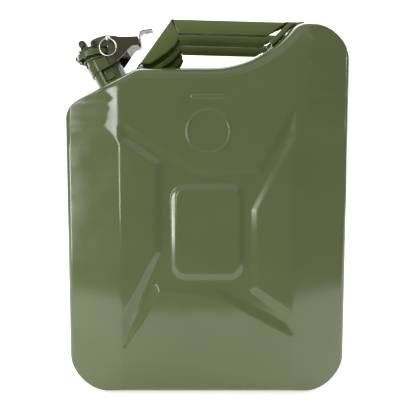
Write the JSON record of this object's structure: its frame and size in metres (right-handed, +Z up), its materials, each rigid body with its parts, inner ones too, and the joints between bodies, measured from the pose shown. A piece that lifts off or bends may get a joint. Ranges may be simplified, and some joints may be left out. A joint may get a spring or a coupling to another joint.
{
  "type": "jerry can",
  "caption": "Pressed-steel fuel jerry can in glossy olive paint, with three strap handles, a leaning neck and a cam-lever lid locked by a ring pin.",
  "frame": {"origin": "centre of the can's bounding box, on the surface that it stands on", "axes": "+Z up, +X along the can's length from the neck to the hump, +Y across its width"},
  "size_m": [0.355, 0.1666, 0.4715],
  "materials": {
    "olive_paint": "gloss",
    "dark_olive_paint": "gloss",
    "zinc_steel": "satin",
    "seal_rubber": "matte"
  },
  "bodies": {
    "can": {"shell_near": "olive_paint", "shell_far": "olive_paint", "seam_weld": "olive_paint", "handle_near": "olive_paint", "handle_middle": "olive_paint", "handle_far": "olive_paint", "neck_tube": "olive_paint", "neck_rim": "olive_paint", "neck_collar": "olive_paint", "breather_tube": "olive_paint", "neck_bracket": "olive_paint", "lid_hinge_pin": "zinc_steel"},
    "lid": {"lid_cap": "olive_paint", "lid_gasket": "seal_rubber", "gasket_plate": "zinc_steel", "lid_rivet": "dark_olive_paint", "lid_bracket": "dark_olive_paint", "lever_pivot_rivet": "dark_olive_paint"},
    "lever_arm": {"lever": "dark_olive_paint", "thumb_tab": "zinc_steel"},
    "lock_pin": {"safety_pin": "zinc_steel"},
    "ring": {"pull_ring": "zinc_steel"}
  },
  "joints": [
    {"name": "lid_hinge", "type": "hinge", "parent": "can", "child": "lid", "pos_m": [-0.17333, 0, 0.4298], "axis": [0, -1, 0], "range_deg": [0, 110]},
    {"name": "lever_pivot", "type": "hinge", "parent": "lid", "child": "lever_arm", "pos_m": [-0.14667, 0, 0.4466], "axis": [0, -1, 0], "range_deg": [0, 100]},
    {"name": "pin_slide", "type": "slide", "parent": "lever_arm", "child": "lock_pin", "axis": [0, -1, 0], "range_m": [0, 0.056]},
    {"name": "ring_swing", "type": "hinge", "parent": "lock_pin", "child": "ring", "pos_m": [-0.12807, -0.0282, 0.4518], "axis": [-1, 0, 0], "range_deg": [0, 95]}
  ]
}
